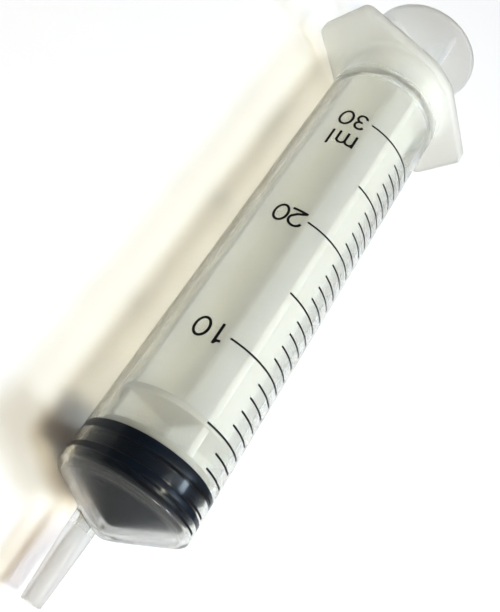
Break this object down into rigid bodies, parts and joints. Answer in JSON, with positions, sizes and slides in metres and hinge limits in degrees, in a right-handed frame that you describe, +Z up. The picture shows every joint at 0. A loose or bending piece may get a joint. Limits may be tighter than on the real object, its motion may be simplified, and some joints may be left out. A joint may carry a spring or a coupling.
{
  "type": "oral syringe",
  "caption": "Oral syringe with a tapered off-centre nozzle, conical front, rubber stopper, cross-ribbed plunger rod, round thumb plate, finger wings and a millilitre scale.",
  "frame": {"origin": "on the barrel's axis at the 0 ml line of the scale", "axes": "+X along the barrel from the nozzle towards the thumb plate, finger wings along Y, +Z up with the nozzle below the barrel's axis"},
  "size_m": [0.1386, 0.0404, 0.0262],
  "materials": {
    "clear_plastic": "translucent, slightly milky moulded polypropylene, satin gloss",
    "rod_plastic": "milky moulded polypropylene, satin gloss",
    "stopper_rubber": "smooth black rubber with a thin film of silicone oil",
    "ink": "black printing ink"
  },
  "bodies": {
    "barrel": {"barrel": "clear_plastic", "marks_1ml": "ink", "marks_5ml": "ink", "marks_10ml": "ink", "numeral_10": "ink", "numeral_20": "ink", "numeral_30": "ink", "unit_ml": "ink"},
    "stopper": {"stopper": "stopper_rubber"},
    "rod": {"plunger_rod": "rod_plastic"}
  },
  "joints": [
    {"name": "plunger_slide", "type": "slide", "parent": "barrel", "child": "stopper", "axis": [1, 0, 0], "range_m": [-0.0011, 0.0823]},
    {"name": "rod_turn", "type": "hinge", "parent": "stopper", "child": "rod", "pos_m": [0.003, 0, 0], "axis": [1, 0, 0], "continuous": true}
  ]
}
